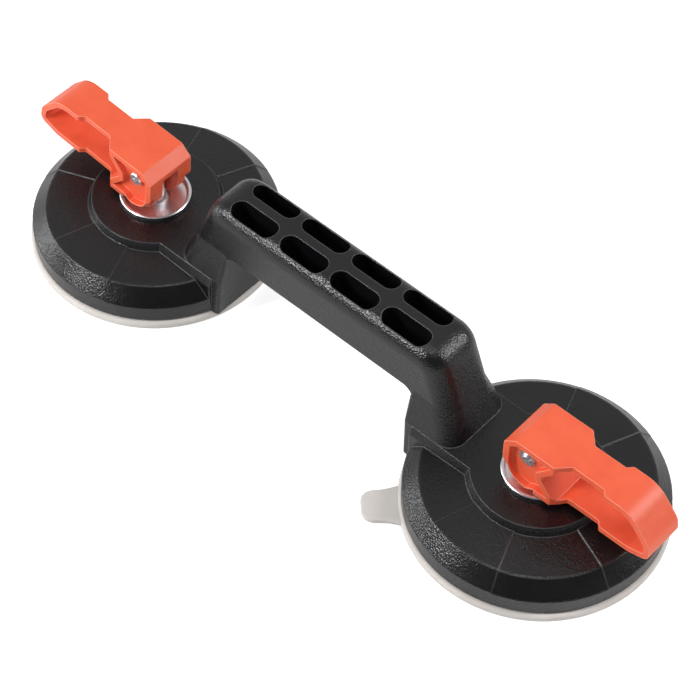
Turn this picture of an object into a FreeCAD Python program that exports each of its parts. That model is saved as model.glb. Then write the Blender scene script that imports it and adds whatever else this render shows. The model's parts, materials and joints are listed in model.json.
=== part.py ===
import FreeCAD, Part
import math
import os

V = FreeCAD.Vector
Z = V(0, 0, 1)

# ---- overall sizes (mm); z = 0 is the plane the pads' lips stand on -------------------
CUP_PITCH = 236.8        # between the two stems
HOUSING_R = 60.0
RIM_Z = 4.5              # underside of the housing's rim above the ground
WALL = 4.2               # casting wall
GAP = 0.3                # left between pieces that face each other without a fit
FIT = 0.05               # radial running clearance

# ---- pad and its plate ------------------------------------------------------------------
PLATE_ROOM, PLATE_T, PLATE_Z = 11.8, 3.0, 4.8        # room from the plate's edge to the wall
PLATE_R = HOUSING_R - WALL - PLATE_ROOM
HOLES_R = PLATE_R - 12.0             # of the holes in the plate
PAD_RING_R = PLATE_R + 6.0           # raised rubber ring that grips the plate's edge
PAD_RING_Z, PAD_HOLLOW_Z = PLATE_Z + PLATE_T + 1.4, PLATE_Z - 2.6
PAD_R, LIP_W, LIP_T = HOUSING_R + 1.5, 7.3, 4.2
LIP_IN_R = PAD_R - LIP_W
TAB_DEG = {"r": -135.0, "l": -152.0}
TAB_L, TAB_W, TAB_END_W, TAB_T = 16.5, 24.0, 17.0, 2.6
TAB_R = PAD_R + TAB_L

# ---- housing --------------------------------------------------------------------------
WALL_TOP_Z = RIM_Z + 9.3
BEVEL_R, BEVEL_Z = HOUSING_R - 7.6, RIM_Z + 16.7
BOSS_R, BOSS_Z = 30.7, RIM_Z + 21.9
STEP_R, STEP_Z = BOSS_R + 1.9, BOSS_Z - 4.0
HUB_Z = RIM_Z + 14.0                 # underside of the hub that the bush is pressed into
CAVITY_R = HOUSING_R - WALL
RIBS, RIB_T, RIB_Z = 8, 3.0, PAD_RING_Z + 2.4
ARM_HALF_DEG, ARM_H = 20.0, 0.5      # four raised sectors on the housing's top

# ---- grip and legs --------------------------------------------------------------------
GRIP_TOP_Z, GRIP_H, GRIP_HALF_W = RIM_Z + 67.5, 29.0, 15.5
GRIP_LOW_Z = GRIP_TOP_Z - GRIP_H
EDGE_OUT_RAD, EDGE_IN_RAD = 9.0, 1.5
LEG_T, LEG_TOP_T, GRIP_END_RAD = 27.2, 14.5, 13.0    # along the grip, at the boss and at the top
LEG_IN_X = CUP_PITCH / 2 - HOUSING_R - 0.6           # inner face at the rim
LEG_IN_TOP_X, LEG_IN_RAD = LEG_IN_X - 1.8, 5.0      # inner face under the grip
LEG_OUT_X, GRIP_END_X = LEG_IN_X + LEG_T, LEG_IN_TOP_X + LEG_TOP_T
LEG_HALF_W, LEG_LOW_HALF_W = 20.0, 21.0
NECK_Z = GRIP_LOW_Z + 2.5            # where a leg starts to flare
LEAN = (LEG_IN_X - LEG_IN_TOP_X) / (GRIP_LOW_Z - RIM_Z)           # of a leg's inner face
SLOPE = (LEG_OUT_X - GRIP_END_X) / (GRIP_TOP_Z - 8 - BOSS_Z)      # of its outer one
STRIP_HALF_W, STRIP_FOOT_HALF_W = LEG_HALF_W + 0.2, LEG_HALF_W + 2.0
POCKET_COUNT, POCKET_L, POCKET_W = 4, 26.2, 9.6
POCKET_DEPTH = GRIP_H - 5.0
POCKET_PITCH, POCKET_Y = 30.2, 7.2

# ---- dish, bush, stem, spring ---------------------------------------------------------
DISH_R, DISH_RIM_Z, DISH_T, DISH_LIP = 17.2, BOSS_Z + 2.4, 1.2, 1.7
DISH_FLOOR_R, DISH_FLOOR_Z = DISH_R - 2.0, BOSS_Z
SEAT_Z = DISH_FLOOR_Z - DISH_T       # bottom of the recess the dish lies in
RECESS_R = DISH_FLOOR_R + DISH_T + GAP
STEM_R, STEM_TOP = 4.75, 5.2         # shank; its end above the pin's axis
BUSH_T, BUSH_FLANGE_T = 1.5, 1.2
BUSH_R = STEM_R + FIT + BUSH_T
BUSH_FLANGE_R = BUSH_R + 1.7
SPRING_WIRE, SPRING_TURNS = 1.4, 3.0
SPRING_R = BUSH_FLANGE_R + 0.6       # to the middle of the wire
SEAT_CUP_T, SEAT_CUP_H = 0.8, 2.6
SEAT_CUP_R = SPRING_R + SPRING_WIRE / 2 + 1.1 + SEAT_CUP_T
COLLAR_R, COLLAR_T = SEAT_CUP_R + 0.8, 1.6
HUB_R = max(BUSH_R + 5.7, SEAT_CUP_R + 2 * GAP)

# ---- lever (its own origin is the pin's axis, +x to the tip, z up) ----------------------
CAM_DROP, CAM_GAP = 20.0, 0.4        # pin's axis to the cam's foot; foot to the dish's floor
PIN_Z, PIN_R = DISH_FLOOR_Z + CAM_DROP + CAM_GAP, 2.5
HEAD_R, HEAD_T = PIN_R + 1.0, 2.2
WASHER_R, WASHER_T = PIN_R + 1.9, 0.9
LEVER_TILT = {"r": 0.0, "l": 4.0}    # degrees the tip stands above level
LEVER_TRAVEL_DEG, LIFT = 75.0, 5.0   # from clamped to released; what the stem sinks by meanwhile
SLOT_HALF_W = STEM_R + 0.35          # the slot between the ears, and the room over the shank
SLOT_R = math.hypot(STEM_R, STEM_TOP) - 0.05         # room for the stem's bevelled end to turn in
WEB_HALF_W = SLOT_HALF_W + 5.1       # outer faces of the ears' webs
CAM_HALF_W, ARM_HALF_W, TIP_HALF_W = WEB_HALF_W + 3.3, 7.6, 10.2
CAM_X, ARM_X0, ARM_X1, TIP_X = 15.7, 21.3, 38.0, 40.2
SKIN = 3.0                           # thickness of the lever's loop and of its rib
EAR_RISE = DISH_RIM_Z - DISH_FLOOR_Z - CAM_GAP + GAP # the ears' outer edges stop above the cam's foot
EAR_CLEAR_R = CAM_DROP - EAR_RISE - LIFT             # round the pin; nearer than this they stay whole

# ---- lever's side view: corners as (x, z, corner radius) ----------------------------------
HEEL_X = 7.0                         # behind this the cam's foot is below the loop's underside
LEVER_OUTLINE = [(-11.2, 4.8, 1.0), (-5.4, 9.9, 1.6), (53.6, 10.3, 14.0), (65.4, -3.0, 8.0),
                 (66.9, -12.0, 4.4), (56.0, -15.6, 10.0), (22.6, 3.6 - CAM_DROP, 2.0),
                 (18.8, 2.6 - CAM_DROP, 2.0), (HEEL_X, 2.6 - CAM_DROP, 1.5), (3.8, -CAM_DROP, 1.5),
                 (-1.2, 0.6 - CAM_DROP, 8.0), (-5.6, 2.4 - CAM_DROP, 8.0), (-8.7, 5.6 - CAM_DROP, 8.0),
                 (-10.6, 10.2 - CAM_DROP, 8.0), (-11.2, -4.0, 8.0)]
RIB_OUT = [(15.0, 8.8), (7.0, -1.4), (7.0, -5.6), (15.4, 4.0 - CAM_DROP)]    # rib's face to the ears
RIB_IN = [(18.6, 8.8), (10.0, -2.4), (10.0, -4.8), (19.2, 4.0 - CAM_DROP)]   # rib's face to the loop


def corner_wire(corners, at):
    """Closed wire through corners (u, v, radius), each rounded; at(u, v) places a point."""
    n = len(corners)
    edges, starts = [], []
    for i, (u, v, rad) in enumerate(corners):
        (pu, pv, _), (qu, qv, _) = corners[i - 1], corners[(i + 1) % n]
        a = V(pu - u, pv - v, 0).normalize()
        b = V(qu - u, qv - v, 0).normalize()
        half = a.getAngle(b) / 2
        cut = rad / math.tan(half)
        mid = (a + b).normalize()
        p, c = V(u, v, 0), V(u, v, 0) + mid * (rad / math.sin(half) - rad)
        starts.append((p + a * cut, c, p + b * cut))
    for i, (s, c, e) in enumerate(starts):
        if (e - s).Length > 1e-6:
            edges.append(Part.Arc(at(s.x, s.y), at(c.x, c.y), at(e.x, e.y)).toShape())
        nxt = starts[(i + 1) % n][0]
        if (nxt - e).Length > 1e-6:
            edges.append(Part.LineSegment(at(e.x, e.y), at(nxt.x, nxt.y)).toShape())
    return Part.Wire(edges)


def sharp(points):
    return [(u, v, 0.0) for u, v in points]


def xz_face(corners, y=0.0):
    return Part.Face(corner_wire(corners, lambda u, v: V(u, y, v)))


def xy_face(corners, z=0.0):
    return Part.Face(corner_wire(corners, lambda u, v: V(u, v, z)))


def revolve(points):
    """Turns a closed (r, z) outline into a solid round the Z axis."""
    wire = Part.makePolygon([V(r, 0, z) for r, z in points + points[:1]])
    return Part.Face(wire).revolve(V(0, 0, 0), Z, 360)


def across(face, y0, y1):
    """Extrudes a face standing in the XZ plane from y0 to y1."""
    face = face.copy()
    face.translate(V(0, y0, 0))
    return face.extrude(V(0, y1 - y0, 0))


def cylinder(r, z0, z1, x=0.0, y=0.0):
    return Part.makeCylinder(r, z1 - z0, V(x, y, z0), Z)


def y_cylinder(r, y0, y1, z=0.0):
    return Part.makeCylinder(r, y1 - y0, V(0, y0, z), V(0, 1, 0))


def box(x0, x1, y0, y1, z0, z1):
    return Part.makeBox(x1 - x0, y1 - y0, z1 - z0, V(x0, y0, z0))


def section(x_in, x_out, half_w, z, out_rad=EDGE_OUT_RAD, in_rad=EDGE_IN_RAD):
    """Horizontal wire of a leg: outer corners well rounded, inner ones less."""
    return corner_wire([(x_in, -half_w, in_rad), (x_out, -half_w, out_rad),
                        (x_out, half_w, out_rad), (x_in, half_w, in_rad)],
                       lambda u, v: V(u, v, z))


def placed(shape, side):
    """Moves a piece made round the Z axis onto the right or the left cup."""
    shape = shape.copy()
    if side == "l":
        shape.rotate(V(0, 0, 0), Z, 180)
    shape.translate(V(CUP_PITCH / 2 * (1 if side == "r" else -1), 0, 0))
    return shape


# ---- frame casting ----------------------------------------------------------------------
def wedge(mid_deg, half_deg, reach, z0, z1):
    a, b = math.radians(mid_deg - half_deg), math.radians(mid_deg + half_deg)
    tip = [(0, 0), (reach * math.cos(a), reach * math.sin(a)), (reach * math.cos(b), reach * math.sin(b))]
    return xy_face(sharp(tip), z0).extrude(V(0, 0, z1 - z0))


def housing_skin():
    """Outside of one housing: rim wall, bevel, annulus, stepped boss and four raised arms."""
    body = revolve([(0, RIM_Z), (HOUSING_R - 0.6, RIM_Z), (HOUSING_R, RIM_Z + 0.6),
                    (HOUSING_R, WALL_TOP_Z - 0.7), (HOUSING_R - 0.5, WALL_TOP_Z), (BEVEL_R + 0.5, BEVEL_Z - 0.3),
                    (BEVEL_R - 0.4, BEVEL_Z), (STEP_R, STEP_Z), (BOSS_R, BOSS_Z), (0, BOSS_Z)])
    arm = revolve([(STEP_R - 1.2, WALL_TOP_Z - 2), (HOUSING_R - 0.1, WALL_TOP_Z - 2),
                   (HOUSING_R - 0.1, WALL_TOP_Z - 0.2), (HOUSING_R - 0.6, WALL_TOP_Z + ARM_H - 0.1),
                   (BEVEL_R + 0.5, BEVEL_Z - 0.3 + ARM_H), (BEVEL_R - 0.4, BEVEL_Z + ARM_H),
                   (STEP_R - 0.2, STEP_Z + ARM_H), (STEP_R - 1.2, STEP_Z + ARM_H)])
    for deg in (0, 90, 180, 270):
        body = body.fuse(arm.common(wedge(deg, ARM_HALF_DEG, 2 * HOUSING_R, RIM_Z, BOSS_Z)))
    return body


def strip():
    """Raised strip, with sloped flanks, that carries the boss on to the leg."""
    x0, x1 = LEG_IN_X + 4.0, CUP_PITCH / 2
    z0, z1, z2 = RIM_Z + 6, STEP_Z, BOSS_Z
    outline = [(-STRIP_FOOT_HALF_W, z0), (STRIP_FOOT_HALF_W, z0), (STRIP_FOOT_HALF_W, z1),
               (STRIP_HALF_W, z2), (-STRIP_HALF_W, z2), (-STRIP_FOOT_HALF_W, z1)]
    face = Part.Face(corner_wire(sharp(outline), lambda u, v: V(x0, u, v)))
    return face.extrude(V(x1 - x0, 0, 0))


def hollow():
    """Space under one housing, with the hub and the ribs left standing."""
    top = STEP_Z - WALL
    space = revolve([(0, RIM_Z - 1), (CAVITY_R, RIM_Z - 1), (CAVITY_R, WALL_TOP_Z - 2.2),
                     (BEVEL_R - 2.6, BEVEL_Z - WALL), (STEP_R, top), (0, top)])
    space = space.cut(cylinder(HUB_R, HUB_Z, top + 1))
    for i in range(RIBS):
        rib = box(SEAT_CUP_R + GAP, CAVITY_R + 1, -RIB_T / 2, RIB_T / 2, RIB_Z, BOSS_Z)
        rib.rotate(V(0, 0, 0), Z, 360 / RIBS * (i + 0.5))
        space = space.cut(rib)
    return space


def arch():
    """Grip and the upper parts of both legs as one bent bar with rounded edges."""
    foot = BOSS_Z + 2
    out_x, in_x = LEG_OUT_X - SLOPE * (foot - BOSS_Z), LEG_IN_X - LEAN * (foot - RIM_Z)
    top_x = out_x - SLOPE * (GRIP_TOP_Z - foot)
    right = [(in_x, foot, 0.0), (out_x, foot, 0.0), (top_x, GRIP_TOP_Z, GRIP_END_RAD)]
    left = [(-x, z, r) for x, z, r in reversed(right)]
    inner = [(-LEG_IN_TOP_X, GRIP_LOW_Z, LEG_IN_RAD), (LEG_IN_TOP_X, GRIP_LOW_Z, LEG_IN_RAD)]
    bar = across(xz_face(right + left + inner), -GRIP_HALF_W, GRIP_HALF_W)
    sides = [e for e in bar.Edges if abs(abs(e.CenterOfMass.y) - GRIP_HALF_W) < 1e-6
             and e.BoundBox.ZMax > foot + 0.1]
    inside = [e for e in sides if e.BoundBox.ZMax < GRIP_LOW_Z + 0.1
              and abs(e.CenterOfMass.x) < (in_x + out_x) / 2 - 4]
    outside = [e for e in sides if not any(e.isSame(i) for i in inside)]
    return bar.makeFillet(EDGE_OUT_RAD, outside).makeFillet(
        EDGE_IN_RAD, [e for e in bar.Edges if any(e.isSame(i) for i in inside)])


def leg():
    """Right leg's flared lower part, which grows out of the bar's sides and runs down to the rim."""
    neck = section(LEG_IN_X - LEAN * (NECK_Z - RIM_Z), LEG_OUT_X - SLOPE * (NECK_Z - BOSS_Z),
                   GRIP_HALF_W - 0.3, NECK_Z, EDGE_OUT_RAD + 1.5, EDGE_IN_RAD + 0.5)
    foot = section(LEG_IN_X - LEAN * (BOSS_Z - RIM_Z), LEG_OUT_X, LEG_HALF_W, BOSS_Z)
    ground = section(LEG_IN_X, LEG_OUT_X, LEG_LOW_HALF_W, RIM_Z)
    return Part.makeLoft([neck, foot], True, True).fuse(Part.makeLoft([foot, ground], True, True))


def leg_hollow():
    """Core of the right leg, open into the housing below."""
    low = section(LEG_IN_X + WALL + 1, LEG_OUT_X - WALL - 3, LEG_HALF_W - WALL - 2, RIM_Z + 8, 3.0, 3.0)
    high = section(LEG_IN_X + WALL, GRIP_END_X + 1, GRIP_HALF_W - WALL - 1.5, GRIP_LOW_Z + 4, 3.0, 3.0)
    return Part.makeLoft([low, high], True, True)


def pockets():
    """Two rows of blind obround pockets in the grip's top."""
    z0, z1 = GRIP_TOP_Z - POCKET_DEPTH, GRIP_TOP_Z + 1
    half, r = POCKET_L / 2, POCKET_W / 2
    cutters = []
    for i in range(POCKET_COUNT):
        for y in (-POCKET_Y, POCKET_Y):
            x = (i - (POCKET_COUNT - 1) / 2) * POCKET_PITCH
            face = xy_face([(x - half, y - r, r - 0.01), (x + half, y - r, r - 0.01),
                            (x + half, y + r, r - 0.01), (x - half, y + r, r - 0.01)], z0)
            cutters.append(face.extrude(V(0, 0, z1 - z0)))
    return cutters


def frame_casting():
    right = housing_skin()
    right.translate(V(CUP_PITCH / 2, 0, 0))
    right = right.fuse([strip(), leg()])
    left = right.copy()
    left.rotate(V(0, 0, 0), Z, 180)
    body = arch().fuse([right, left])
    cutters = pockets()
    for side in ("r", "l"):
        cutters.append(placed(hollow(), side))
        cutters.append(placed(cylinder(RECESS_R, SEAT_Z, BOSS_Z + 1), side))
        cutters.append(placed(cylinder(BUSH_R, HUB_Z - 2, BOSS_Z), side))
    core = leg_hollow()
    cutters.append(core)
    core = core.copy()
    core.rotate(V(0, 0, 0), Z, 180)
    cutters.append(core)
    return body.cut(cutters).removeSplitter()


# ---- pieces round one stem ----------------------------------------------------------------
def dish():
    """Pressed pan: flat floor, steep wall, flat lip, with the stem's hole in the middle."""
    hole, inner = STEM_R + 0.9, DISH_R - DISH_LIP
    return revolve([(hole, SEAT_Z), (DISH_FLOOR_R + 0.3, SEAT_Z), (DISH_FLOOR_R + 1.1, SEAT_Z + 0.6),
                    (inner + 1.0, DISH_RIM_Z - DISH_T), (DISH_R - 0.3, DISH_RIM_Z - DISH_T),
                    (DISH_R, DISH_RIM_Z - DISH_T + 0.4), (DISH_R, DISH_RIM_Z - 0.4), (DISH_R - 0.4, DISH_RIM_Z),
                    (inner + 0.4, DISH_RIM_Z), (inner, DISH_RIM_Z - 0.3), (DISH_FLOOR_R, DISH_FLOOR_Z + 0.5),
                    (DISH_FLOOR_R - 0.5, DISH_FLOOR_Z), (hole + 1.2, DISH_FLOOR_Z), (hole, DISH_FLOOR_Z - 0.5)])


def guide_bush():
    """Flanged sleeve pressed into the hub from below."""
    ri, z0 = STEM_R + FIT, HUB_Z - BUSH_FLANGE_T
    return revolve([(ri, z0 + 0.4), (ri + 0.4, z0), (BUSH_FLANGE_R, z0), (BUSH_FLANGE_R, HUB_Z), (BUSH_R, HUB_Z),
                    (BUSH_R, SEAT_Z), (ri, SEAT_Z)])


def spring_seat():
    """Shallow pressed cup under the bush's flange that keeps the spring centred."""
    z1 = HUB_Z - BUSH_FLANGE_T
    ri = STEM_R + 0.6
    return revolve([(ri, z1), (ri, z1 - SEAT_CUP_T), (SEAT_CUP_R - SEAT_CUP_T, z1 - SEAT_CUP_T),
                    (SEAT_CUP_R - SEAT_CUP_T, z1 - SEAT_CUP_H), (SEAT_CUP_R, z1 - SEAT_CUP_H), (SEAT_CUP_R, z1)])


def collar():
    """Thick washer on the plate that the spring stands on."""
    z0 = PLATE_Z + PLATE_T
    return revolve([(STEM_R + FIT, z0), (COLLAR_R, z0), (COLLAR_R, z0 + COLLAR_T - 0.5),
                    (COLLAR_R - 0.5, z0 + COLLAR_T), (STEM_R + FIT, z0 + COLLAR_T)])


def return_spring():
    """Compression spring between the collar and its seat; its wire is drawn eight-sided."""
    r = SPRING_WIRE / 2
    z0 = PLATE_Z + PLATE_T + COLLAR_T + r
    z1 = HUB_Z - BUSH_FLANGE_T - SEAT_CUP_T - r
    helix = Part.makeHelix((z1 - z0) / SPRING_TURNS, z1 - z0, SPRING_R)
    helix.translate(V(0, 0, z0))
    ring = [V(SPRING_R + r * math.cos(a), 0, z0 + r * math.sin(a))
            for a in (math.radians(45 * i + 22.5) for i in range(8))]
    return Part.Wire(helix).makePipeShell([Part.makePolygon(ring + ring[:1])], True, True)


def pull_stem():
    """Steel stud riveted in the plate: plain shank and a cross hole for the pin."""
    top = PIN_Z + STEM_TOP
    stem = revolve([(0, PLATE_Z + 0.2), (STEM_R, PLATE_Z + 0.2), (STEM_R, top - 1.2),
                    (STEM_R - 1.2, top), (0, top)])
    return stem.cut(y_cylinder(PIN_R + FIT, -2 * STEM_R, 2 * STEM_R, PIN_Z))


def pad_plate():
    """Steel disc bonded in the pad, with a ring of holes that the rubber keys into."""
    z0, z1 = PLATE_Z, PLATE_Z + PLATE_T
    plate = revolve([(STEM_R + FIT, z0), (PLATE_R - 0.5, z0), (PLATE_R, z0 + 0.5), (PLATE_R, z1 - 0.5),
                     (PLATE_R - 0.5, z1), (STEM_R + FIT, z1)])
    for i in range(6):
        a = math.radians(60 * i)
        plate = plate.cut(cylinder(4.0, z0 - 1, z1 + 1, HOLES_R * math.cos(a), HOLES_R * math.sin(a)))
    return plate


def pull_tab(deg):
    """Rounded tongue on the pad's lip that breaks the seal."""
    foot, end, x0 = TAB_W / 2, TAB_END_W / 2, LIP_IN_R + 3
    face = xy_face([(x0, -foot, 0.0), (PAD_R + 3, -end, 6.0), (TAB_R, -end + 1, 6.0), (TAB_R, end - 1, 6.0),
                    (PAD_R + 3, end, 6.0), (x0, foot, 0.0)], 0.9)
    tab = face.extrude(V(0, 0, TAB_T))
    rim = [e for e in tab.Edges if e.BoundBox.ZLength < 1e-6 and e.BoundBox.XMax > x0 + 1e-6]
    tab = tab.makeFillet(0.8, rim)
    tab.rotate(V(0, 0, 0), Z, deg)
    return tab


def pad_rubber(tab_deg):
    """Dished rubber cup: thin lip, raised ring round the plate, shallow sealing grooves."""
    z = PAD_HOLLOW_Z
    outline = [(0, z), (PLATE_R - 18, z)]
    for r in (PLATE_R - 14, PLATE_R - 6, PLATE_R + 2):
        outline += [(r, z - 0.4), (r, z + 0.5), (r + 1.6, z + 0.5), (r + 1.6, z - 0.5)]
    outline += [(LIP_IN_R, 1.2), (LIP_IN_R + 2, 0), (PAD_R - 1.0, 0), (PAD_R, 0.9), (PAD_R, LIP_T - 1.2),
                (PAD_R - 0.8, LIP_T - 0.2), (LIP_IN_R, LIP_T), (PAD_RING_R + 1.0, PAD_RING_Z - 2.0),
                (PAD_RING_R, PAD_RING_Z - 0.5), (PAD_RING_R - 0.6, PAD_RING_Z),
                (PLATE_R - 1.6, PAD_RING_Z), (PLATE_R - 1.6, PLATE_Z + PLATE_T + FIT),
                (PLATE_R + FIT, PLATE_Z + PLATE_T + FIT), (PLATE_R + FIT, PLATE_Z - FIT), (0, PLATE_Z - FIT)]
    return revolve(outline).fuse(pull_tab(tab_deg))


# ---- lever, pin, washer ---------------------------------------------------------------------
def loop_side(points, x_end):
    """Region of the XZ plane between a rib face and a far x."""
    return xz_face(sharp([(x_end, 40.0), (points[0][0], 40.0)] + points
                         + [(points[-1][0], -40.0), (x_end, -40.0)]))


def ear_steps(outline):
    """Lower outer edges of the ears, taken off so that they turn clear of the dish's rim."""
    low = outline.cut(Part.Face(outline.OuterWire.makeOffset2D(-EAR_RISE)))
    low = low.common(xz_face(sharp([(-40, -40), (HEEL_X, -40), (HEEL_X, 0), (-40, 0)])))
    low = low.cut(Part.Face(Part.Wire(Part.makeCircle(EAR_CLEAR_R, V(0, 0, 0), V(0, 1, 0)))))
    return [across(low, WEB_HALF_W, 20), across(low, -20, -WEB_HALF_W)]


def lever():
    """Moulded lever: wide eared cam end, narrow arm and wider tip round an open finger loop."""
    outline = xz_face(LEVER_OUTLINE)
    inside = Part.Face(outline.OuterWire.makeOffset2D(-SKIN))
    body = across(outline, -CAM_HALF_W, CAM_HALF_W)
    right = [(CAM_X, CAM_HALF_W, 1.0), (ARM_X0, ARM_HALF_W, 1.0), (ARM_X1, ARM_HALF_W, 1.5),
             (TIP_X, TIP_HALF_W, 1.5), (90, TIP_HALF_W, 0.0)]
    plan = ([(-30, CAM_HALF_W, 0.0)] + right + [(x, -y, r) for x, y, r in reversed(right)]
            + [(-30, -CAM_HALF_W, 0.0)])
    body = body.common(xy_face(plan, -40).extrude(V(0, 0, 80)))
    window = across(inside.common(loop_side(RIB_IN, 120.0)), -20, 20)
    ear = inside.common(loop_side(RIB_OUT, -60.0))
    cuts = [window, across(ear, WEB_HALF_W, 20), across(ear, -20, -WEB_HALF_W),
            y_cylinder(SLOT_R, -SLOT_HALF_W, SLOT_HALF_W),
            y_cylinder(PIN_R + FIT, -20, 20)] + ear_steps(outline)
    a = math.radians(90 - LEVER_TRAVEL_DEG)
    over = V(-math.sin(a), math.cos(a), 0) * SLOT_HALF_W
    end = over - V(math.cos(a), math.sin(a), 0) * 30
    slot = xz_face(sharp([(over.x, over.y), (SLOT_R, 0.0), (SLOT_R, -40.0), (-40.0, -40.0), (end.x, end.y)]))
    cuts.append(across(slot, -SLOT_HALF_W, SLOT_HALF_W))
    body = body.cut(cuts)
    return body.removeSplitter()


def pivot_pin():
    """Headed pin; the head has a shallow recess and the other end a small dome."""
    end = -WEB_HALF_W - WASHER_T - 1.4
    y0 = WEB_HALF_W + FIT
    shank = y_cylinder(PIN_R, end + 0.6, y0).fuse(y_cylinder(PIN_R - 0.6, end, end + 0.6))
    head = y_cylinder(HEAD_R, y0, y0 + HEAD_T)
    head = head.makeChamfer(0.5, [e for e in head.Edges if abs(e.CenterOfMass.y - (y0 + HEAD_T)) < 1e-6
                                  and e.Length > HEAD_R])
    recess = y_cylinder(PIN_R - 1.0, y0 + HEAD_T - 1.6, y0 + HEAD_T + 1)
    return shank.fuse(head).cut(recess)


def push_on_washer():
    """Washer with teeth that bite the pin, scalloped round its edge."""
    y0 = -WEB_HALF_W - FIT
    ring = y_cylinder(WASHER_R, y0 - WASHER_T, y0).cut(y_cylinder(PIN_R + FIT, y0 - 3, y0 + 1))
    for i in range(8):
        notch = box(-0.5, 0.5, y0 - 3, y0 + 1, WASHER_R - 0.9, WASHER_R + 1)
        notch.rotate(V(0, 0, 0), V(0, 1, 0), 45 * i)
        ring = ring.cut(notch)
    return ring


def on_pin(shape, side):
    """Tilts a piece made round the pin's axis, lifts it to the pin and puts it on its cup."""
    shape = shape.copy()
    shape.rotate(V(0, 0, 0), V(0, 1, 0), -LEVER_TILT[side])
    shape.translate(V(0, 0, PIN_Z))
    return placed(shape, side)


def write(name, shape):
    if not shape.isValid():
        raise ValueError(name + " is not a valid shape")
    shape.exportStep(os.path.join("parts", name + ".step"))
    print("%-18s solids %d  volume %.0f mm3" % (name, len(shape.Solids), shape.Volume))


os.makedirs("parts", exist_ok=True)
write("frame_casting", frame_casting())
for side in ("r", "l"):
    for name, make in (("dish", dish), ("guide_bush", guide_bush), ("spring_seat", spring_seat),
                       ("collar", collar), ("return_spring", return_spring), ("pull_stem", pull_stem),
                       ("pad_plate", pad_plate)):
        write(name + "_" + side, placed(make(), side))
    write("pad_rubber_" + side, placed(pad_rubber(TAB_DEG[side]), side))
    for name, make in (("lever", lever), ("pivot_pin", pivot_pin), ("push_on_washer", push_on_washer)):
        write(name + "_" + side, on_pin(make(), side))
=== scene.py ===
# %% [markdown]
# # A two-pad tile lifter
# The lifter is a cast bridge handle over two round housings. Under each housing sits a rubber pad,
# and an orange flip lever draws the pad up by a steel stem. The rigid pieces come in from the CAD
# model, already in place and in metres. This script gives them their finishes, models the rubber
# pads, and sets up the light and the camera.

import json
import math

import bpy
from mathutils import Matrix, Vector

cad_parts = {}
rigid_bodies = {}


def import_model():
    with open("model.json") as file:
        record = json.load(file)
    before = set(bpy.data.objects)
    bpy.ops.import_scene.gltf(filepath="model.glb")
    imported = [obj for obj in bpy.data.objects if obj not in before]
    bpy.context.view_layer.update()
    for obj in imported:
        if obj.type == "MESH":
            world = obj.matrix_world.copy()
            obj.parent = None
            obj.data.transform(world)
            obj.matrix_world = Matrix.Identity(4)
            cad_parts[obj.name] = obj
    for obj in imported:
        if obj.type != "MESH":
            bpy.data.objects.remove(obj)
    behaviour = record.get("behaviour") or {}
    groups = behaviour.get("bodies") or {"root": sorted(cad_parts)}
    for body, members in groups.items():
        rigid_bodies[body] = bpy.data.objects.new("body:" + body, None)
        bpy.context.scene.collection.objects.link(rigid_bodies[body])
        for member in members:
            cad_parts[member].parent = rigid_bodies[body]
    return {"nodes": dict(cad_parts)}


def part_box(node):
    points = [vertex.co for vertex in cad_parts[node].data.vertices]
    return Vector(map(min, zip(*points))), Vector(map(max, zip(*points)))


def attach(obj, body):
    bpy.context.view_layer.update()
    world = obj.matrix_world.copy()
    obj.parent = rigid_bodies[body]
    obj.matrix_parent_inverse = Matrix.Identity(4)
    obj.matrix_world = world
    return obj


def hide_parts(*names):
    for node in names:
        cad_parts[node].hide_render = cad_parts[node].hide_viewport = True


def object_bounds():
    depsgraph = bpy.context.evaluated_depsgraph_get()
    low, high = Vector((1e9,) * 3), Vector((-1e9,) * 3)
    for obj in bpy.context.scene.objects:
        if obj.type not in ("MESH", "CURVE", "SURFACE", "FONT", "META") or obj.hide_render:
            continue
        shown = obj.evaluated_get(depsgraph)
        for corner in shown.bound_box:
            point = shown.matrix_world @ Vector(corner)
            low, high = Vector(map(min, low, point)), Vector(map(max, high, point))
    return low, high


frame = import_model()
cad_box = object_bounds()
MM = 0.001
SIDES = {"r": 1.0, "l": -1.0}
print("nodes:", len(frame["nodes"]), "size in mm:", [round(v / MM, 1) for v in cad_box[1] - cad_box[0]])

# %% [markdown]
# The places and main sizes of the pads come from the CAD boxes, so a change there moves them too. The
# stem's box gives the middle of a pad, and the pad's own box gives its reach. Sizes that no box holds,
# such as the width of the lip, have a name where they are used.

# %% Where the stems stand
stem_axis = {}
for side in SIDES:
    low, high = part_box("pull_stem_" + side)
    stem_axis[side] = ((low + high) / 2).to_2d()
    print("stem", side, [round(v / MM, 2) for v in stem_axis[side]])

# %% [markdown]
# ## Finishes
# Colours are written as the hex values that a colour picker shows. The renderer works in linear
# light, so one function turns them over. A second one adds a node, sets its values and links it,
# which keeps each finish short enough to read.

# %% Colour and node helpers
def linear(hex_colour):
    """An sRGB hex value such as "#2E2E31" as linear red, green and blue, and an alpha of 1."""
    values = [int(hex_colour[i:i + 2], 16) / 255 for i in (1, 3, 5)]
    return [v / 12.92 if v <= 0.04045 else ((v + 0.055) / 1.055) ** 2.4 for v in values] + [1.0]


def add(tree, kind, into=None, **inputs):
    """Adds a node. Each input names a socket or a setting; a socket may be given another node's output."""
    node = tree.nodes.new("ShaderNode" + kind)
    for name, value in inputs.items():
        socket = node.inputs.get(name.replace("_", " "))
        if socket is None:
            setattr(node, name, value)
        elif isinstance(value, bpy.types.NodeSocket):
            tree.links.new(value, socket)
        else:
            socket.default_value = value
    if into is not None:
        tree.links.new(node.outputs[0], into)
    return node


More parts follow.
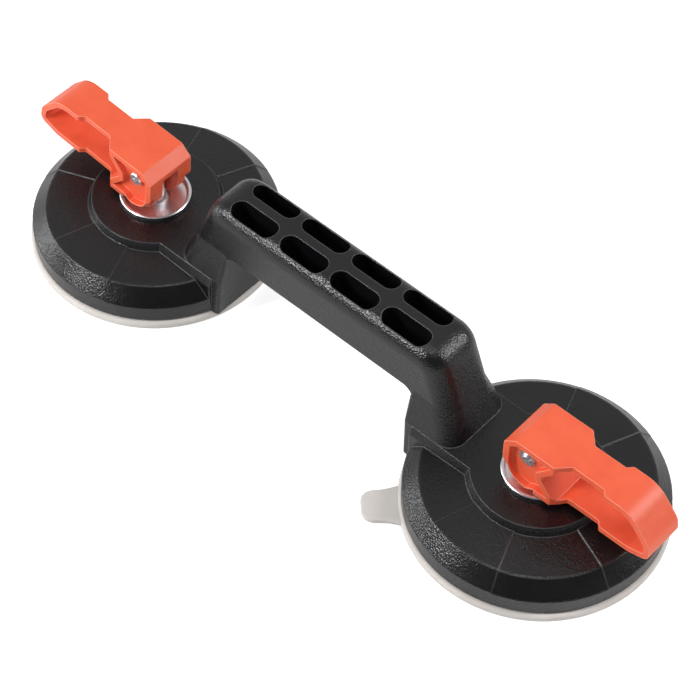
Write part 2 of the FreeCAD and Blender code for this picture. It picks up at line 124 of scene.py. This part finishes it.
def new_finish(name):
    """A material with only its output and a Principled shader, and its Object coordinates."""
    finish = bpy.data.materials.new(name)
    finish.use_nodes = True
    tree = finish.node_tree
    tree.nodes.clear()
    out = add(tree, "OutputMaterial")
    shader = add(tree, "BsdfPrincipled", into=out.inputs["Surface"])
    place = add(tree, "TexCoord").outputs["Object"]
    return finish, tree, shader, place


def per_metre(size_mm):
    """Scale of a noise whose features are about size_mm across."""
    return 1 / (size_mm * MM)


NOISE_LOW, NOISE_HIGH = 0.3, 0.7        # most of a noise's values lie between these


def spread(tree, noise, least, most, into):
    """Sends a noise on as a number between least and most."""
    add(tree, "MapRange", into=into, Value=noise, From_Min=NOISE_LOW, From_Max=NOISE_HIGH,
        To_Min=least, To_Max=most)


def ramp(tree, fac, stops, into=None):
    """A colour ramp through stops of (position, colour or grey value)."""
    node = add(tree, "ValToRGB", Fac=fac)
    elements = node.color_ramp.elements
    while len(elements) < len(stops):
        elements.new(0.5)
    for element, (at, colour) in zip(elements, stops):
        element.position = at
        element.color = linear(colour) if isinstance(colour, str) else [colour, colour, colour, 1]
    if into is not None:
        tree.links.new(node.outputs["Color"], into)
    return node


# %% [markdown]
# No real edge is perfectly sharp. The Bevel node turns the shading normal round each edge as if it had
# a small radius, so that edges catch the light. Where that normal parts from the true one there is an
# edge, and the difference serves as a mask for a paler colour painted along the edges as a highlight.

# %% Rounded edges and their painted highlight
EDGE_BEGINS, EDGE_FULL = 0.995, 0.93    # cosines of the angle between the two normals


def soft_edges(tree, radius_mm):
    """Normal rounded over radius_mm at the edges, and a mask that is 1 on an edge and 0 away from it, where a
    highlight is painted.
    """
    rounded = add(tree, "Bevel", Radius=radius_mm * MM, samples=8).outputs["Normal"]
    true = add(tree, "NewGeometry").outputs["Normal"]
    along = add(tree, "VectorMath", operation="DOT_PRODUCT")
    tree.links.new(rounded, along.inputs[0])
    tree.links.new(true, along.inputs[1])
    mask = add(tree, "MapRange", Value=along.outputs["Value"], From_Min=EDGE_BEGINS, From_Max=EDGE_FULL,
               To_Min=0.0, To_Max=1.0)
    return rounded, mask.outputs[0]


def mixed(tree, fac, plain, edge_highlight, into):
    """Mixes the colour output plain with a hex colour by fac, a highlight painted along the edges, and sends
    it on.
    """
    blend = add(tree, "Mix", data_type="RGBA")
    tree.links.new(fac, blend.inputs["Factor"])
    tree.links.new(plain, blend.inputs["A"])
    # the second colour is a painted highlight, laid over the plain colour along the edges
    blend.inputs["B"].default_value = linear(edge_highlight)
    tree.links.new(blend.outputs["Result"], into)


# %% [markdown]
# ### Powder-coated light-alloy casting
# The frame is cast in a light alloy and coated with black powder. The powder melts into a satin
# skin with orange peel 2 to 3 mm across, and the sand-like grain of the casting shows through it at
# a little under a millimetre. Handling polishes it unevenly, so colour and roughness drift slowly over
# the part. Along the edges a paler grey is painted as the highlight that rounded edges catch.

# %% Black powder coat
def powder_coat():
    finish, tree, shader, place = new_finish("black powder coat on cast alloy")
    peel = add(tree, "TexNoise", Vector=place, Scale=per_metre(2.6), Detail=3.0, Roughness=0.6).outputs["Fac"]
    grain = add(tree, "TexVoronoi", Vector=place, Scale=per_metre(0.9), Randomness=1.0).outputs["Distance"]
    handling = add(tree, "TexNoise", Vector=place, Scale=per_metre(26), Detail=3.0).outputs["Fac"]
    skin = ramp(tree, handling, [(NOISE_LOW, "#0D0D0F"), (NOISE_HIGH, "#131315")])
    rounded, edge = soft_edges(tree, 0.8)
    # a paler grey is painted along the edges as a highlight
    mixed(tree, edge, skin.outputs["Color"], "#4A4B4F", shader.inputs["Base Color"])
    spread(tree, handling, 0.24, 0.31, into=shader.inputs["Roughness"])
    soft = add(tree, "Bump", Height=peel, Distance=0.25 * MM, Strength=0.5, Normal=rounded)
    fine = add(tree, "Bump", Height=grain, Distance=0.16 * MM, Strength=0.8, Normal=soft.outputs[0])
    tree.links.new(fine.outputs[0], shader.inputs["Normal"])
    shader.inputs["IOR"].default_value = 1.5
    return finish


# %% [markdown]
# ### Moulded nylon
# The levers are injection moulded in an orange-red glass-filled nylon. It has a satin skin with
# faint flow marks and lets a little light in. Along the edges a paler orange is painted as a highlight.

# %% Orange nylon
def orange_nylon():
    finish, tree, shader, place = new_finish("orange moulded nylon")
    flow = add(tree, "TexNoise", Vector=place, Scale=per_metre(14), Detail=3.0, Distortion=0.6).outputs["Fac"]
    skin = add(tree, "TexNoise", Vector=place, Scale=per_metre(0.9), Detail=3.0).outputs["Fac"]
    body = ramp(tree, flow, [(NOISE_LOW, "#EE5F3C"), (NOISE_HIGH, "#F56945")])
    rounded, edge = soft_edges(tree, 0.6)
    # a paler orange is painted along the edges as a highlight
    mixed(tree, edge, body.outputs["Color"], "#FF9C7E", shader.inputs["Base Color"])
    spread(tree, flow, 0.38, 0.48, into=shader.inputs["Roughness"])
    bump = add(tree, "Bump", Height=skin, Distance=0.04 * MM, Strength=0.5, Normal=rounded)
    tree.links.new(bump.outputs[0], shader.inputs["Normal"])
    shader.inputs["IOR"].default_value = 1.53
    shader.inputs["Subsurface Weight"].default_value = 0.08
    shader.inputs["Subsurface Radius"].default_value = (1.0, 0.25, 0.1)
    shader.inputs["Subsurface Scale"].default_value = 1.5 * MM
    return finish


# %% [markdown]
# ### Zinc plate
# The dish, stem, pin and washer are mild steel with bright zinc plate. Passivated zinc has a faint
# blue and pink cast that drifts over a few millimetres, and the turned and pressed steel under it
# leaves fine marks that blur the reflections.

# %% Zinc plate
def zinc_plate():
    finish, tree, shader, place = new_finish("bright zinc plate on steel")
    tint = add(tree, "TexNoise", Vector=place, Scale=per_metre(7), Detail=2.0).outputs["Fac"]
    marks = add(tree, "TexNoise", Vector=place, Scale=per_metre(0.6), Detail=4.0).outputs["Fac"]
    ramp(tree, tint, [(0.32, "#DCE4EC"), (0.5, "#EDEDF0"), (0.68, "#F3E4E6")],
         into=shader.inputs["Base Color"])
    ramp(tree, marks, [(0.2, 0.28), (0.8, 0.42)], into=shader.inputs["Roughness"])
    bump = add(tree, "Bump", Height=marks, Distance=0.02 * MM, Strength=0.5)
    tree.links.new(bump.outputs[0], shader.inputs["Normal"])
    shader.inputs["Metallic"].default_value = 1.0
    return finish


# %% [markdown]
# ### Grey rubber
# The pads are a pale warm grey rubber, moulded in a polished tool so that the lip seals. It is dull
# and a little dusty, with a bloom that comes and goes over a centimetre or so.

# %% Pad rubber
def pad_rubber():
    finish, tree, shader, place = new_finish("pale grey moulded rubber")
    bloom = add(tree, "TexNoise", Vector=place, Scale=per_metre(11), Detail=4.0).outputs["Fac"]
    grain = add(tree, "TexNoise", Vector=place, Scale=per_metre(0.7), Detail=2.0).outputs["Fac"]
    ramp(tree, bloom, [(NOISE_LOW, "#D6D0CB"), (NOISE_HIGH, "#DFDAD5")], into=shader.inputs["Base Color"])
    bump = add(tree, "Bump", Height=grain, Distance=0.05 * MM, Strength=0.4)
    tree.links.new(bump.outputs[0], shader.inputs["Normal"])
    shader.inputs["Roughness"].default_value = 0.62
    shader.inputs["Subsurface Weight"].default_value = 0.15
    shader.inputs["Subsurface Radius"].default_value = (1.0, 0.9, 0.8)
    shader.inputs["Subsurface Scale"].default_value = 2.0 * MM
    return finish


# %% [markdown]
# ### Spring wire and the bush
# The spring is drawn steel wire, duller than the plated pieces, and the bush is natural nylon, an
# off-white that a light shines into.

# %% Spring wire and natural nylon
def spring_wire():
    finish, tree, shader, place = new_finish("oiled drawn spring wire")
    draw = add(tree, "TexNoise", Vector=place, Scale=per_metre(0.5), Detail=3.0).outputs["Fac"]
    ramp(tree, draw, [(NOISE_LOW, "#77787C"), (NOISE_HIGH, "#929398")], into=shader.inputs["Base Color"])
    ramp(tree, draw, [(0.2, 0.30), (0.8, 0.45)], into=shader.inputs["Roughness"])
    shader.inputs["Metallic"].default_value = 1.0
    return finish


def natural_nylon():
    finish, tree, shader, place = new_finish("natural nylon")
    cloud = add(tree, "TexNoise", Vector=place, Scale=per_metre(5), Detail=2.0).outputs["Fac"]
    ramp(tree, cloud, [(NOISE_LOW, "#D9D6CB"), (NOISE_HIGH, "#E5E2D8")], into=shader.inputs["Base Color"])
    ramp(tree, cloud, [(NOISE_LOW, 0.42), (NOISE_HIGH, 0.52)], into=shader.inputs["Roughness"])
    shader.inputs["Subsurface Weight"].default_value = 0.1
    shader.inputs["Subsurface Scale"].default_value = 1.0 * MM
    return finish


# %% [markdown]
# Each CAD piece takes its finish by name. The shapes are right as they are, so only the material in
# their slots changes.

# %% Put the finishes on the CAD pieces
coat, nylon, zinc, rubber = powder_coat(), orange_nylon(), zinc_plate(), pad_rubber()
FINISHES = {"frame_casting": coat, "lever": nylon, "dish": zinc, "pull_stem": zinc, "pivot_pin": zinc,
            "push_on_washer": zinc, "spring_seat": zinc, "collar": zinc, "pad_plate": zinc,
            "return_spring": spring_wire(), "guide_bush": natural_nylon(), "pad_rubber": rubber}
for name, node in frame["nodes"].items():
    finish = FINISHES[name if name in FINISHES else name[:-2]]
    node.data.materials.clear()
    node.data.materials.append(finish)
    print(name, "->", finish.name)

# %% [markdown]
# ## Rubber pads
# Each pad is one moulding of soft rubber. Its lip is a flat band with a rounded outer edge. Inside the
# lip the underside rises into a shallow dish with three sealing grooves, and on top a raised ring grips
# the steel plate.
# A round piece like this can be turned from a section. Here a cylinder's top face is extruded from ring
# to ring, which gives the same shape and keeps each ring's size in view.

# %% Sizes of a pad, in millimetres from the stem's axis and from the ground
pad_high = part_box("pad_rubber_r")[1]
plate_low, plate_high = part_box("pad_plate_r")
LIP_R = (pad_high.x - stem_axis["r"].x) / MM
RING_TOP = pad_high.z / MM
PLATE_R = (plate_high.x - stem_axis["r"].x) / MM
PLATE_LOW, PLATE_TOP = plate_low.z / MM, plate_high.z / MM
LIP_WIDTH, LIP_TOP = 7.3, 4.1
FIT = 0.05                              # left between the rubber and the plate
HOLLOW, GROOVE = PLATE_LOW - 2.6, 0.9   # height of the hollow's roof, and depth of a groove in it
RING_R = PLATE_R + 6.0
print("lip radius %.1f, plate radius %.1f, ring top %.1f" % (LIP_R, PLATE_R, RING_TOP))

# %% Section of the pad as rings of (radius, height), from under the middle round to the top
rings = [(PLATE_R - 18, HOLLOW)]
for r in (PLATE_R - 14, PLATE_R - 6, PLATE_R + 2):
    rings += [(r, HOLLOW - 0.4), (r + 0.2, HOLLOW - 0.4 + GROOVE), (r + 1.4, HOLLOW - 0.4 + GROOVE),
              (r + 1.6, HOLLOW - 0.5)]
rings += [(LIP_R - LIP_WIDTH, 1.2), (LIP_R - LIP_WIDTH + 2, 0.0), (LIP_R - 1.0, 0.0), (LIP_R - 0.5, 0.12),
          (LIP_R - 0.12, 0.45), (LIP_R, 0.9), (LIP_R, 2.6), (LIP_R - 0.15, 3.2), (LIP_R - 0.6, 3.7),
          (LIP_R - 1.3, LIP_TOP - 0.1), (LIP_R - 2.2, LIP_TOP), (LIP_R - LIP_WIDTH, LIP_TOP + 0.1),
          (RING_R + 1.0, RING_TOP - 2.0), (RING_R, RING_TOP - 0.5), (RING_R - 0.6, RING_TOP),
          (PLATE_R - 1.0, RING_TOP), (PLATE_R - 1.6, RING_TOP - 0.4), (PLATE_R - 1.6, PLATE_TOP + FIT),
          (PLATE_R + FIT, PLATE_TOP + FIT), (PLATE_R + FIT, PLATE_LOW - FIT), (20.0, PLATE_LOW - FIT)]
print("rings:", len(rings))


# %% [markdown]
# An operator acts on all that is selected, and a new primitive is selected all over. So one helper
# clears the selection, picks faces or edges by their place, and opens edit mode on just those.

# %% Select and edit
def edit(piece, kind, wanted):
    """Opens edit mode with only the faces or edges selected that wanted(part, its points in mm) passes."""
    mesh = piece.data
    points = [v.co / MM for v in mesh.vertices]
    for group in (mesh.vertices, mesh.edges, mesh.polygons):
        group.foreach_set("select", [False] * len(group))
    for part in mesh.polygons if kind == "FACE" else mesh.edges:
        if wanted(part, [points[i] for i in part.vertices]):
            part.select = True
            for i in part.vertices:
                mesh.vertices[i].select = True
    bpy.context.tool_settings.mesh_select_mode = (False, kind == "EDGE", kind == "FACE")
    bpy.ops.object.mode_set(mode="EDIT")


def face_outwards(piece):
    """Turns all faces of a closed piece outwards and leaves edit mode."""
    bpy.ops.mesh.select_all(action="SELECT")
    bpy.ops.mesh.normals_make_consistent(inside=False)
    bpy.ops.object.mode_set(mode="OBJECT")


# %% Turn the section into a solid
def turned(name, rings, sides=128):
    """A cylinder whose top face is extruded from ring to ring; radius and height are in millimetres."""
    (r, z), height = rings[0], 0.1
    bpy.ops.object.select_all(action="DESELECT")
    bpy.ops.mesh.primitive_cylinder_add(vertices=sides, radius=r * MM, depth=height * MM,
                                        location=(0, 0, (z + height / 2) * MM))
    piece = bpy.context.object
    piece.name = name
    bpy.ops.object.transform_apply(location=True)
    edit(piece, "FACE", lambda face, points: face.normal.z > 0.9)
    z += height
    for i, (next_r, next_z) in enumerate(rings[1:]):
        if i:
            bpy.ops.mesh.extrude_region()
        bpy.ops.transform.resize(value=(next_r / r, next_r / r, 1), center_override=(0, 0, 0))
        bpy.ops.transform.translate(value=(0, 0, (next_z - z) * MM))
        r, z = next_r, next_z
    face_outwards(piece)
    return piece


pad = turned("pad", rings)
print("pad body:", len(pad.data.polygons), "faces, spans", [round(v / MM, 1) for v in pad.dimensions])

# %% [markdown]
# A tongue on the lip is pulled to break the seal. It starts as a block inside the lip, whose end face
# is narrowed and then drawn out. Its corners are rounded by a large bevel, its rims by a small one, and
# a Boolean union makes it one skin with the lip.

# %% Pull tab
TAB_LOW, TAB_THICK, TAB_REACH = 0.9, 2.6, 16.5
TAB_FOOT, TAB_END, TAB_TAPER = 24.0, 17.0, 0.94         # widths, and the tip's share of the second
CORNER, RIM_ROUND = 5.5, 0.6
tab_start, tab_neck, tab_end = LIP_R - LIP_WIDTH + 3, LIP_R + 2.5, LIP_R + TAB_REACH
bpy.ops.object.select_all(action="DESELECT")
bpy.ops.mesh.primitive_cube_add(size=1.0, location=((tab_start + tab_neck) / 2 * MM, 0,
                                                    (TAB_LOW + TAB_THICK / 2) * MM))
tab = bpy.context.object
tab.scale = ((tab_neck - tab_start) * MM, TAB_FOOT * MM, TAB_THICK * MM)
bpy.ops.object.transform_apply(location=True, scale=True)
edit(tab, "FACE", lambda face, points: face.normal.x > 0.9)
bpy.ops.transform.resize(value=(1, TAB_END / TAB_FOOT, 1), center_override=(0, 0, 0))
bpy.ops.mesh.extrude_region()
bpy.ops.transform.translate(value=((tab_end - tab_neck) * MM, 0, 0))
bpy.ops.transform.resize(value=(1, TAB_TAPER, 1), center_override=(0, 0, 0))
bpy.ops.object.mode_set(mode="OBJECT")

edit(tab, "EDGE", lambda line, ends: abs(ends[0].z - ends[1].z) > 1 and ends[0].x > tab_start + 1)
bpy.ops.mesh.bevel(offset=CORNER * MM, segments=6, affect="EDGES", clamp_overlap=True)
bpy.ops.mesh.select_all(action="SELECT")
bpy.ops.mesh.dissolve_limited(angle_limit=math.radians(1))
bpy.ops.object.mode_set(mode="OBJECT")
edit(tab, "EDGE", lambda line, ends: (abs(ends[0].z - ends[1].z) < 0.01
                                      and max(ends[0].x, ends[1].x) > tab_start + 0.1))
bpy.ops.mesh.bevel(offset=RIM_ROUND * MM, segments=3, affect="EDGES", clamp_overlap=True)
face_outwards(tab)
print("tab:", len(tab.data.polygons), "faces, spans", [round(v / MM, 1) for v in tab.dimensions])

union = pad.modifiers.new("tab", "BOOLEAN")
union.operation, union.solver, union.object = "UNION", "EXACT", tab
bpy.context.view_layer.objects.active = pad
bpy.ops.object.modifier_apply(modifier="tab")
bpy.data.objects.remove(tab)
print("pad with its tab:", len(pad.data.polygons), "faces")

# %% [markdown]
# The right pad is the one just made, turned so that its tab points where it does on the lifter, and the
# left pad is a copy of it with its own mesh and its tab behind the grip. Both go up and down with their
# stems.

# %% Place the two pads
TAB_DEGREES = {"r": -135.0, "l": 28.0}
for side in SIDES:
    piece = bpy.data.objects.new("rubber_pad_" + side, pad.data.copy())
    bpy.context.scene.collection.objects.link(piece)
    piece.data.transform(Matrix.Translation(stem_axis[side].to_3d())
                         @ Matrix.Rotation(math.radians(TAB_DEGREES[side]), 4, "Z"))
    piece.data.materials.clear()
    piece.data.materials.append(rubber)
    bpy.ops.object.select_all(action="DESELECT")
    piece.select_set(True)
    bpy.context.view_layer.objects.active = piece
    bpy.ops.object.shade_smooth_by_angle(angle=math.radians(40))
    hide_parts("pad_rubber_" + side)
    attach(piece, "stem_" + side)
    print(piece.name, "spans", [round(v / MM, 1) for v in piece.dimensions])
bpy.data.objects.remove(pad)

# %% [markdown]
# ## Floor, light and camera
# The lifter stands on a plain white floor under soft studio light. A large softbox overhead lights the
# tops, one at the left front picks out the bevels and a low one at the left lights the upright sides.
# A tall strip at the right back lays a gloss along the rounded edges. The world fills the shadows, is
# white where it is seen directly, and in reflections is brighter at the left back than the right front.

# %% Floor
FLOOR_SIZE = 8.0
FLOOR_GLOW, FLOOR_GLOW_IN_GLOSS = 0.60, 0.10            # its own light, seen directly and in reflections


def white_floor():
    finish, tree, shader, place = new_finish("white studio floor")
    cloud = add(tree, "TexNoise", Vector=place, Scale=2.0, Detail=2.0).outputs["Fac"]
    ramp(tree, cloud, [(0.3, "#F1F1F1"), (0.7, "#F4F4F4")], into=shader.inputs["Base Color"])
    shader.inputs["Roughness"].default_value = 0.9
    shader.inputs["Specular IOR Level"].default_value = 0.0
    rays = add(tree, "LightPath")
    gloss = add(tree, "Math", operation="MULTIPLY")
    tree.links.new(rays.outputs["Is Glossy Ray"], gloss.inputs[0])
    gloss.inputs[1].default_value = FLOOR_GLOW_IN_GLOSS
    glow = add(tree, "Math", operation="MULTIPLY_ADD")
    tree.links.new(rays.outputs["Is Camera Ray"], glow.inputs[0])
    glow.inputs[1].default_value = FLOOR_GLOW
    tree.links.new(gloss.outputs[0], glow.inputs[2])
    shader.inputs["Emission Color"].default_value = (1, 1, 1, 1)
    tree.links.new(glow.outputs[0], shader.inputs["Emission Strength"])
    return finish


bpy.ops.object.select_all(action="DESELECT")
bpy.ops.mesh.primitive_plane_add(size=FLOOR_SIZE, location=(0, 0, cad_box[0].z))
floor = bpy.context.object
floor.name = "studio_floor"
floor.data.materials.append(white_floor())

# %% World and lamps
FILL = 0.25                             # strength of the world as a light
WALL_DARK, WALL_BRIGHT = 0.12, 0.62     # its strength in reflections, at the right front and left back
TO_LEFT_BACK = (-0.65, 0.76, 0.0)
AIM = Vector((0.0, 0.0, 0.03))          # what the lamps point at

world = bpy.data.worlds.new("soft studio")
bpy.context.scene.world = world
world.use_nodes = True
sky = world.node_tree
background = sky.nodes["Background"]
background.inputs["Color"].default_value = (1, 1, 1, 1)
direction = add(sky, "TexCoord").outputs["Generated"]
behind = add(sky, "VectorMath", operation="DOT_PRODUCT")
sky.links.new(direction, behind.inputs[0])
behind.inputs[1].default_value = TO_LEFT_BACK
wall = add(sky, "MapRange", Value=behind.outputs["Value"], From_Min=-0.5, From_Max=0.6,
           To_Min=WALL_DARK, To_Max=WALL_BRIGHT)
rays = add(sky, "LightPath")
shown = add(sky, "Mix", data_type="FLOAT")
sky.links.new(rays.outputs["Is Glossy Ray"], shown.inputs["Factor"])
shown.inputs["A"].default_value = FILL
sky.links.new(wall.outputs[0], shown.inputs["B"])
strength = add(sky, "Math", operation="MAXIMUM")
sky.links.new(shown.outputs[0], strength.inputs[0])
sky.links.new(rays.outputs["Is Camera Ray"], strength.inputs[1])
sky.links.new(strength.outputs[0], background.inputs["Strength"])


def softbox(name, size, power, place):
    """A rectangular area lamp at place, facing AIM."""
    lamp = bpy.data.lights.new(name, "AREA")
    lamp.shape, lamp.size, lamp.size_y, lamp.energy = "RECTANGLE", size[0], size[1], power
    holder = bpy.data.objects.new(name, lamp)
    bpy.context.scene.collection.objects.link(holder)
    holder.location = place
    holder.rotation_euler = (Vector(place) - AIM).to_track_quat("Z", "Y").to_euler()


softbox("overhead_softbox", (0.6, 0.6), 3.0, (0.12, -0.18, 1.15))
softbox("left_front_softbox", (0.26, 0.32), 7.5, (-0.48, -0.80, 0.66))
softbox("left_low_softbox", (0.30, 0.26), 2.5, (-1.05, -0.52, 0.18))
softbox("right_back_strip", (0.22, 0.60), 6.0, (0.79, 0.56, 0.70))

# %% [markdown]
# The camera stands about a metre off, at a long focal length, and looks down over one end. It is
# built from its angles round the object and a small roll.

# %% Camera
AZIMUTH, ELEVATION, ROLL = math.radians(40.67), math.radians(52.14), math.radians(1.668)
TARGET, DISTANCE = Vector((13.63, -7.62, 27.54)) * MM, 1045.98 * MM
SENSOR_WIDTH, FOCAL_LENGTH = 36.0, 118.45               # millimetres
back = Vector((math.sin(AZIMUTH) * math.cos(ELEVATION), -math.cos(AZIMUTH) * math.cos(ELEVATION),
               math.sin(ELEVATION)))
right = (-back).cross(Vector((0, 0, 1))).normalized()
up = back.cross(right)
rolled_right = right * math.cos(ROLL) + up * math.sin(ROLL)
rolled_up = up * math.cos(ROLL) - right * math.sin(ROLL)
camera = bpy.data.objects.new("camera", bpy.data.cameras.new("camera"))
bpy.context.scene.collection.objects.link(camera)
camera.data.sensor_width = SENSOR_WIDTH
camera.data.lens = FOCAL_LENGTH
camera.matrix_world = Matrix((rolled_right, rolled_up, back)).transposed().to_4x4()
camera.location = TARGET + back * DISTANCE
bpy.context.scene.camera = camera
bpy.context.scene.view_settings.view_transform = "Standard"
print("camera at", [round(v, 3) for v in camera.location])
